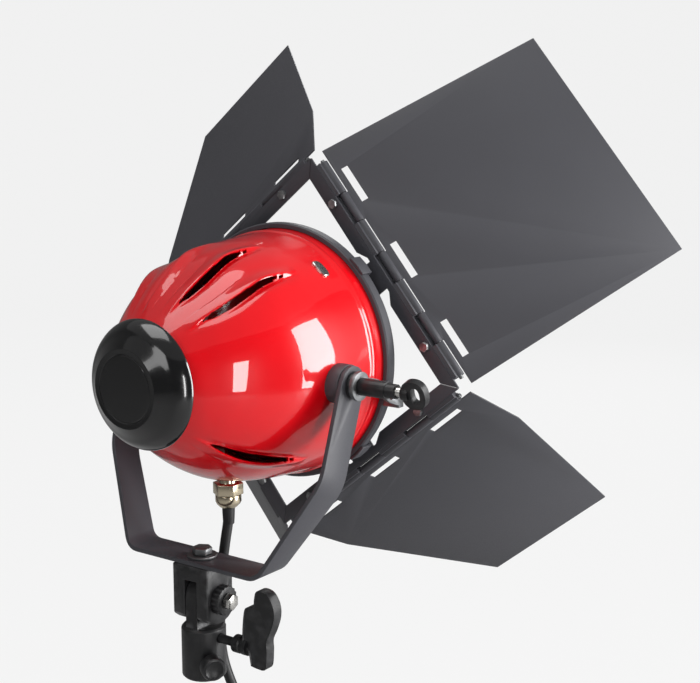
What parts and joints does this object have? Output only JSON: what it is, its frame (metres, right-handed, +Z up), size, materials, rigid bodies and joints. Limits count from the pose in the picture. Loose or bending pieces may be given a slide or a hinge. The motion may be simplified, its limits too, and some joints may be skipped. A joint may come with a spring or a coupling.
{
  "type": "open face light",
  "caption": "Open-face tungsten light with a red lacquered head, a turning barndoor with hinged leaves, a focus knob, and a black yoke on a stand bracket; mains lead coiled below.",
  "frame": {"origin": "centre of the mouth of the stand socket, under the bracket", "axes": "X along the tilt axis, the beam leaves along -Y, Z up"},
  "size_m": [0.4641, 0.3236, 0.6406],
  "materials": {
    "red_lacquer": "glossy sprayed lacquer over sheet metal",
    "sheet_black": "matt black heat-proof paint on thin sheet",
    "cast_black": "satin black enamel on cast aluminium",
    "moulded_black": "moulded, finely textured",
    "gloss_black": "moulded, polished",
    "grey_steel": "zinc plated, dull",
    "bright_steel": "bright turned steel",
    "nickel": "nickel plated brass",
    "polished_reflector": "polished and peened",
    "ceramic": "glazed steatite ceramic",
    "quartz": "clear quartz tube",
    "rubber": "black rubber sheath and moulding"
  },
  "bodies": {
    "base": {"stand_socket": "cast_black", "cord_lower": "rubber", "cord_coil": "rubber", "cord_tie": "rubber", "plug": "rubber"},
    "spigot_lock": {"wing_handle": "moulded_black"},
    "spigot_clamp": {"clamp_knob": "moulded_black"},
    "yoke": {"tilt_block": "cast_black", "rosette_disc": "cast_black", "rosette_bolt": "bright_steel", "rosette_nut": "bright_steel", "yoke_strap": "sheet_black", "base_washer": "grey_steel", "base_bolt": "grey_steel", "friction_disc_near": "moulded_black", "friction_disc_far": "moulded_black", "cord_upper": "rubber"},
    "head": {"head_shell": "red_lacquer", "front_rim": "sheet_black", "reflector": "polished_reflector", "wire_guard": "grey_steel", "ring_claw_1": "sheet_black", "ring_claw_2": "sheet_black", "ring_claw_3": "sheet_black", "ring_claw_4": "sheet_black", "pivot_boss_near": "sheet_black", "pivot_boss_far": "sheet_black", "side_bracket_near": "grey_steel", "side_bracket_far": "grey_steel", "lock_bush": "moulded_black", "pivot_bolt_far": "grey_steel", "gland_body": "nickel", "gland_nut": "nickel", "gland_lock_nut": "nickel", "terminal_block": "ceramic", "focus_bush": "nickel", "guide_rod_near": "bright_steel", "guide_rod_far": "bright_steel"},
    "tilt_lock": {"tilt_lock_knob": "moulded_black", "tilt_lock_stud": "bright_steel"},
    "focus": {"focus_knob": "gloss_black", "focus_screw": "bright_steel"},
    "carriage": {"lamp_carriage": "grey_steel", "lamp_holder_near": "ceramic", "lamp_holder_far": "ceramic", "lamp_tube": "quartz"},
    "door": {"door_ring": "sheet_black", "hinge_frame_1": "sheet_black", "hinge_frame_2": "sheet_black", "hinge_frame_3": "sheet_black", "hinge_frame_4": "sheet_black", "hinge_pin_1": "grey_steel", "hinge_pin_2": "grey_steel", "hinge_pin_3": "grey_steel", "hinge_pin_4": "grey_steel"},
    "wing_upper": {"leaf_wing_upper": "sheet_black"},
    "square_upper": {"leaf_square_upper": "sheet_black"},
    "wing_lower": {"leaf_wing_lower": "sheet_black"},
    "square_lower": {"leaf_square_lower": "sheet_black"}
  },
  "joints": [
    {"name": "spigot_lock_turn", "type": "hinge", "parent": "base", "child": "spigot_lock", "pos_m": [-0.034, 0, 0.029], "axis": [-1, 0, 0], "range_deg": [-180, 180]},
    {"name": "spigot_clamp_turn", "type": "hinge", "parent": "base", "child": "spigot_clamp", "pos_m": [-0.01824, 0.0123, 0.0135], "axis": [-0.829, 0.5592, 0], "range_deg": [-180, 180]},
    {"name": "yoke_tilt", "type": "hinge", "parent": "base", "child": "yoke", "pos_m": [0, 0, 0.0565], "axis": [-1, 0, 0], "range_deg": [-30, 45], "deforming": ["cord_lower"]},
    {"name": "head_tilt", "type": "hinge", "parent": "yoke", "child": "head", "pos_m": [0, -0.043, 0.2032], "axis": [-1, 0, 0], "range_deg": [-30, 60], "deforming": ["cord_upper"]},
    {"name": "tilt_lock_turn", "type": "hinge", "parent": "head", "child": "tilt_lock", "pos_m": [-0.139, -0.043, 0.2032], "axis": [-1, 0, 0], "range_deg": [-180, 180]},
    {"name": "focus_turn", "type": "hinge", "parent": "head", "child": "focus", "pos_m": [0, 0.06002, 0.20824], "axis": [0, 1, -0.0035], "range_deg": [-75, 75]},
    {"name": "lamp_focus", "type": "slide", "parent": "head", "child": "carriage", "axis": [0, -1, 0.0035], "range_m": [-0.0125, 0.0125]},
    {"name": "door_turn", "type": "hinge", "parent": "head", "child": "door", "pos_m": [0, -0.09398, 0.20878], "axis": [0, -1, 0.0035], "continuous": true},
    {"name": "wing_upper_swing", "type": "hinge", "parent": "door", "child": "wing_upper", "pos_m": [0.06207, -0.10972, 0.28467], "axis": [-0.7738, 0.0022, 0.6334], "range_deg": [-78.7, 66.3]},
    {"name": "square_upper_swing", "type": "hinge", "parent": "door", "child": "square_upper", "pos_m": [-0.07584, -0.10976, 0.27091], "axis": [-0.6334, -0.0027, -0.7738], "range_deg": [-52.4, 66.6]},
    {"name": "wing_lower_swing", "type": "hinge", "parent": "door", "child": "wing_lower", "pos_m": [-0.06207, -0.11024, 0.133], "axis": [0.7738, -0.0022, -0.6334], "range_deg": [-65, 80]},
    {"name": "square_lower_swing", "type": "hinge", "parent": "door", "child": "square_lower", "pos_m": [0.07584, -0.1102, 0.14676], "axis": [0.6334, 0.0027, 0.7738], "range_deg": [-49, 70]}
  ],
  "couplings": [
    {"joint": "lamp_focus", "follows": "focus_turn", "m_per_rad": 0.009549}
  ]
}
